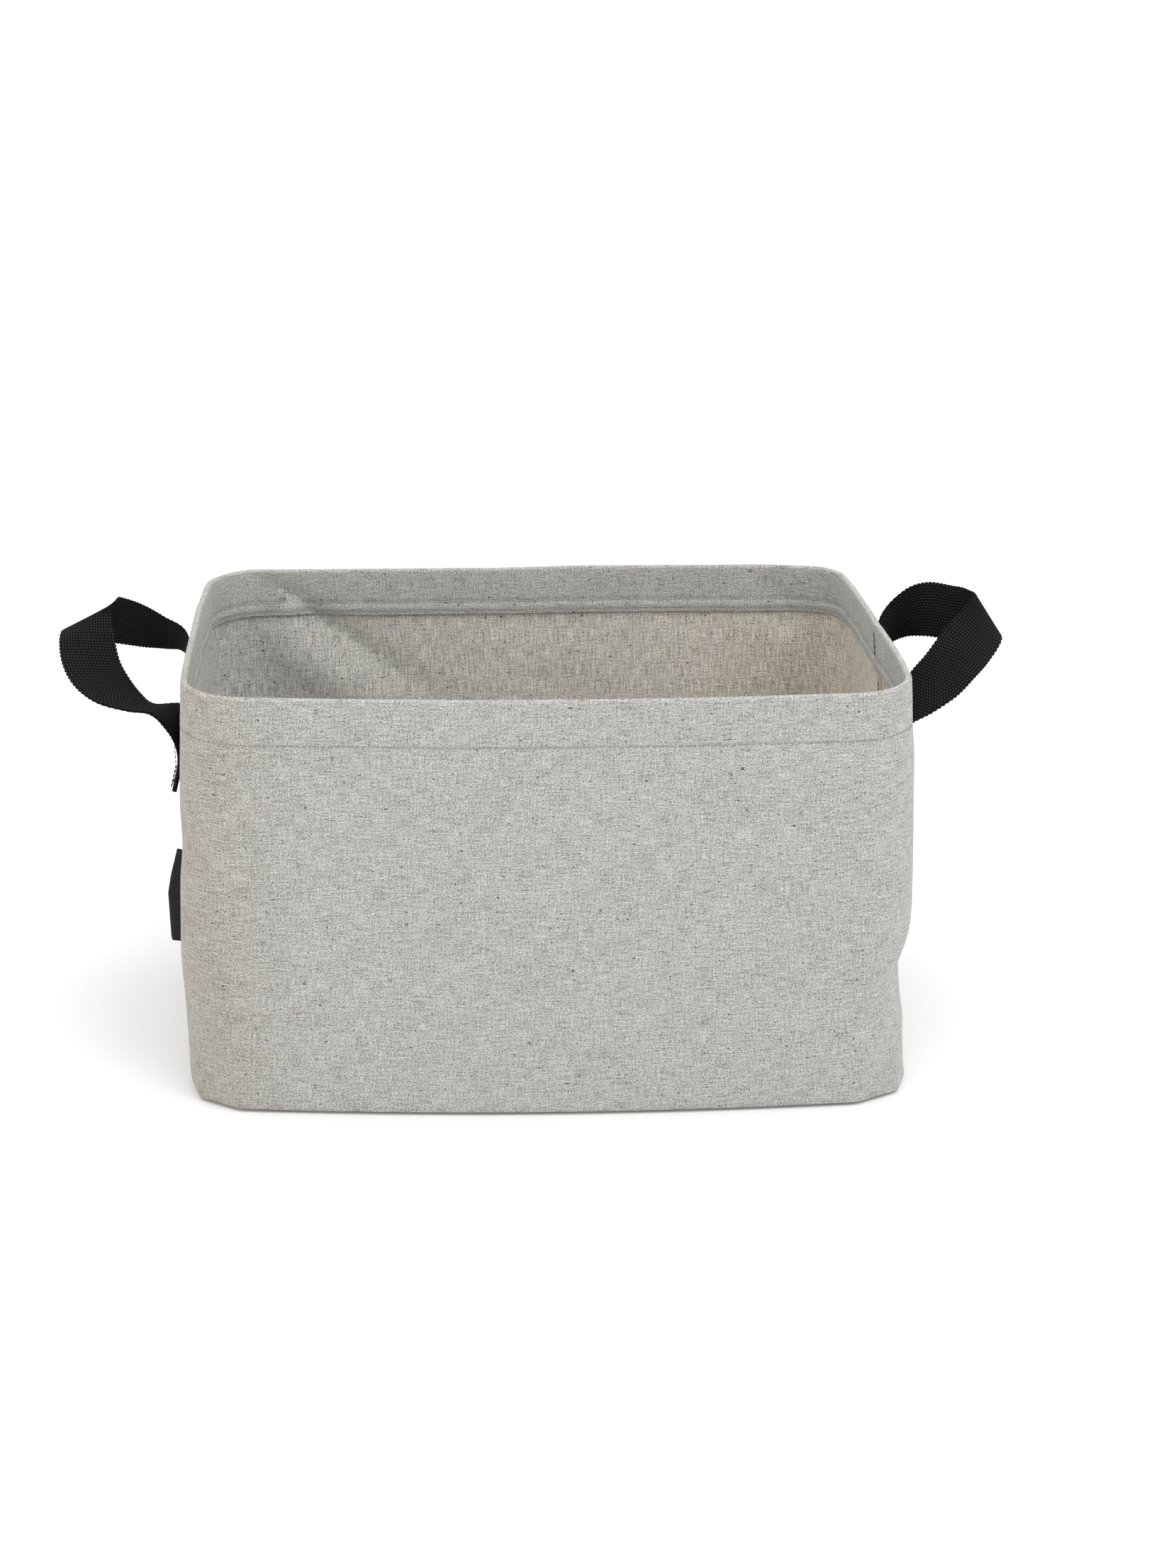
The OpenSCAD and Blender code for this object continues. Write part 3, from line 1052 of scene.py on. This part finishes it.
def side_label():
    """A plain folded tag caught in the left side seam."""
    foot = LABEL_FOOT + LABEL_LIFT
    head = LABEL_HEAD + LABEL_LIFT
    edge = [
        (foot, -252.5), (foot + 2, -253.2), (foot + 36, -253.4), (foot + 50, -250.5),
        (head - 4, -246.5), (head, -245.5),
    ]
    heights = np.linspace(foot, head, LABEL_ROWS)
    outer_edge = np.interp(heights, [z for z, x in edge], [x for z, x in edge])
    shares = np.linspace(0, 1, 9)
    rings = []
    for z, outer in zip(heights, outer_edge):
        inner = wall_x(-1, 0, z) + 1.0
        rings.append(label_side(inner, outer, z, shares, -1)
                     + label_side(inner, outer, z, shares[::-1], 1))
    up = run_along(np.array(rings[LABEL_ROWS // 2 - 1]))
    piece = sweep("seam_label_tag", rings, heights, up, LABEL_CLOTH)
    press_down(piece)
    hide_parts("side_label")


# ---------------------------------------------------------------- build

base_sheet(
    "base_cloth_sheet", 5, 0.0, CLOTH_T, OUTER_CLOTH, "base_cloth")
base_board()
base_sheet(
    "base_lining_sheet", WALL_T + 0.2, BOARD_TOP, FLOOR_TOP, LINING_CLOTH,
    "base_lining")
base_tape()
for each_half in (FRONT, REAR):
    wall_cloth(each_half)
    wall_lining(each_half)
    stiffener(each_half)
    hem_band(each_half)
rim_stitches()
right_seam_thread()
for each_side, each_route in ((-1, LEFT_ROUTE), (1, RIGHT_ROUTE)):
    side_seam_tape(each_side)
    sewn_route = sewn_to_wall(each_side, each_route)
    handle(each_side, sewn_route)
    box_stitches(each_side, sewn_route)
side_label()


# ---------------------------------------------------------------- floor, light and camera


FLOOR_REACH = 60
FLOOR_Z = -0.0004
WORLD_STRENGTH = 1.17


def studio_floor():
    """A wide pale floor."""
    mesh = bpy.data.meshes.new("studio_floor")
    ways = [(-1, -1), (1, -1), (1, 1), (-1, 1)]
    corners = [(x * FLOOR_REACH, y * FLOOR_REACH, FLOOR_Z) for x, y in ways]
    mesh.from_pydata(corners, [], [(0, 1, 2, 3)])
    floor = bpy.data.objects.new("studio_floor", mesh)
    bpy.context.scene.collection.objects.link(floor)
    material, tree, shader = new_material("pale_floor", 0.9, specular=0.1)
    at = add(tree, "ShaderNodeTexCoord").outputs["Object"]
    noise = add(tree, "ShaderNodeTexNoise", None, {"Vector": at, "Scale": 1.5, "Detail": 2.0})
    value = weighted(tree, 1.0, [(noise.outputs["Fac"], 0.01)])
    white = (0.865, 0.865, 0.865, 1)
    tree.links.new(tint(tree, white, white, 0.0, value), shader.inputs["Base Color"])
    mesh.materials.append(material)


def studio_world():
    """Even white light from all round."""
    world = bpy.data.worlds.new("studio_world")
    world.use_nodes = True
    background = world.node_tree.nodes["Background"]
    background.inputs["Color"].default_value = (1, 1, 1, 1)
    background.inputs["Strength"].default_value = WORLD_STRENGTH
    bpy.context.scene.world = world


COOL = (0.97, 0.985, 1.0)
WARM = (1.0, 0.90, 0.76)


def soft_box(name, place, aim, size, power, colour=COOL):
    """A square area light, aimed at a point."""
    light = bpy.data.lights.new(name, "AREA")
    light.color = colour
    light.shape = "SQUARE"
    light.size = size
    light.energy = power
    lamp = bpy.data.objects.new(name, light)
    lamp.location = place
    way = np.array(aim, float) - np.array(place, float)
    tilt = math.acos(-way[2] / np.linalg.norm(way))
    lamp.rotation_euler = (tilt, 0, math.atan2(-way[0], way[1]))
    bpy.context.scene.collection.objects.link(lamp)


CAMERA_PLACE = (-0.002, -1.519, 0.734)
CAMERA_PITCH = 20.43
CAMERA_YAW = 1.35
CAMERA_LENS = 55.09
SENSOR_WIDTH = 36


def photo_camera():
    """The camera at the photograph's viewing angle."""
    data = bpy.data.cameras.new("photo_camera")
    data.lens = CAMERA_LENS
    data.sensor_width = SENSOR_WIDTH
    camera = bpy.data.objects.new("photo_camera", data)
    camera.location = CAMERA_PLACE
    camera.rotation_euler = (math.radians(90 - CAMERA_PITCH), 0, math.radians(-CAMERA_YAW))
    bpy.context.scene.collection.objects.link(camera)
    bpy.context.scene.camera = camera


studio_floor()
studio_world()
soft_box("key_light", (1.5, -1.4, 2.6), (0, 0, 0.1), 1.8, 21)
soft_box("top_light", (0.0, -0.4, 2.0), (0, 0.1, 0.2), 0.9, 8)
soft_box("fill_light", (-2.2, -0.5, 0.8), (0.2, 0, 0.25), 0.8, 4, WARM)
photo_camera()
bpy.context.scene.view_settings.view_transform = "Standard"
